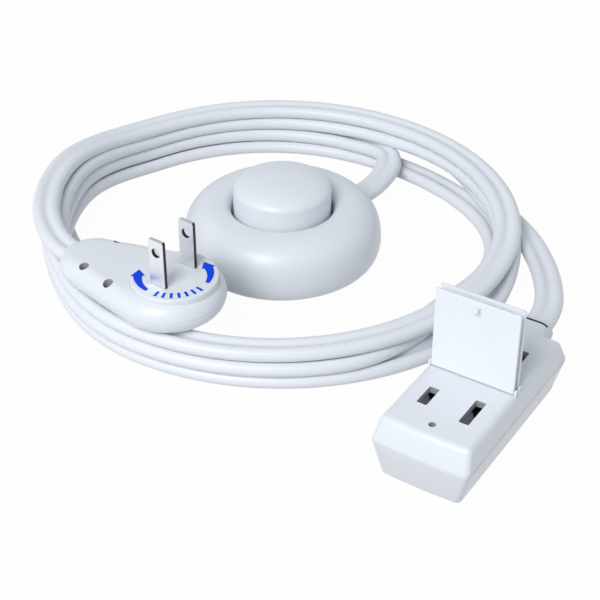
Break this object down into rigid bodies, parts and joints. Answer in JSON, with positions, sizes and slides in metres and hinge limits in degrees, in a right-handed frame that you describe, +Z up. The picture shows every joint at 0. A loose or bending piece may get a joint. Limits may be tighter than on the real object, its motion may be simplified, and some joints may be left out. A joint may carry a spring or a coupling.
{
  "type": "indoor extension cord",
  "caption": "Indoor extension cord with a flat swivelling plug, a round foot switch, a two-outlet block with flip-up lids, and a flat cord laid in a stacked ring.",
  "frame": {"origin": "on the floor, at the centre of the foot switch's sole", "axes": "+Z up from the floor; +X and +Y level, with the outlet block towards +X and -Y and the plug towards -X"},
  "size_m": [0.1627, 0.1962, 0.0424],
  "materials": {
    "housing": "satin",
    "button": "satin",
    "jacket": "satin",
    "sole": "matte",
    "blades": "polished",
    "screws": "satin",
    "spring": "satin",
    "brass": "satin",
    "nylon": "matte"
  },
  "bodies": {
    "cord_set": {"switch_base": "housing", "switch_dome": "housing", "switch_pad": "sole", "switch_screws": "screws", "button_spring": "spring", "wheel_axle": "screws", "contact_moving": "brass", "contact_fixed": "brass", "cord_clamps": "housing", "clamp_screws": "screws", "plug_rear_shell": "housing", "plug_front_shell": "housing", "slip_ring_inner": "brass", "slip_ring_outer": "brass", "plug_screws": "screws", "outlet_lower_shell": "housing", "outlet_upper_shell": "housing", "contact_bar_line": "brass", "contact_bar_neutral": "brass", "lid_pins": "screws", "outlet_screws": "screws", "outlet_gland": "jacket", "cord_coil": "jacket", "cord_top_turn": "jacket", "plug_lead": "jacket", "switch_lead_in": "jacket", "switch_lead_out": "jacket", "outlet_lead": "jacket"},
    "switch_button": {"switch_button": "button"},
    "ratchet_wheel": {"ratchet_wheel": "nylon"},
    "plug_disc": {"plug_disc": "housing", "blade_line": "blades", "blade_neutral": "blades"},
    "lid_near": {"lid_near": "housing"},
    "lid_far": {"lid_far": "housing"}
  },
  "joints": [
    {"name": "button_press", "type": "slide", "parent": "cord_set", "child": "switch_button", "axis": [0, 0, -1], "range_m": [0, 0.005], "stiffness_N_per_m": 600, "springref_m": -0.005, "deforming": ["button_spring"]},
    {"name": "wheel_turn", "type": "hinge", "parent": "cord_set", "child": "ratchet_wheel", "pos_m": [-0.001, 0, 0.0112], "axis": [0, 1, 0], "range_deg": [0, 45]},
    {"name": "disc_swivel", "type": "hinge", "parent": "cord_set", "child": "plug_disc", "pos_m": [-0.0298, -0.049, 0.0182], "axis": [0, 0, 1], "continuous": true},
    {"name": "lid_near_hinge", "type": "hinge", "parent": "cord_set", "child": "lid_near", "pos_m": [0.05046, -0.08846, 0.01845], "axis": [0.8415, -0.5402, 0], "range_deg": [0, 90]},
    {"name": "lid_far_hinge", "type": "hinge", "parent": "cord_set", "child": "lid_far", "pos_m": [0.05165, -0.08661, 0.01845], "axis": [-0.8415, 0.5402, 0], "range_deg": [0, 90]}
  ],
  "couplings": [
    {"joint": "wheel_turn", "follows": "button_press", "rad_per_m": 157}
  ]
}
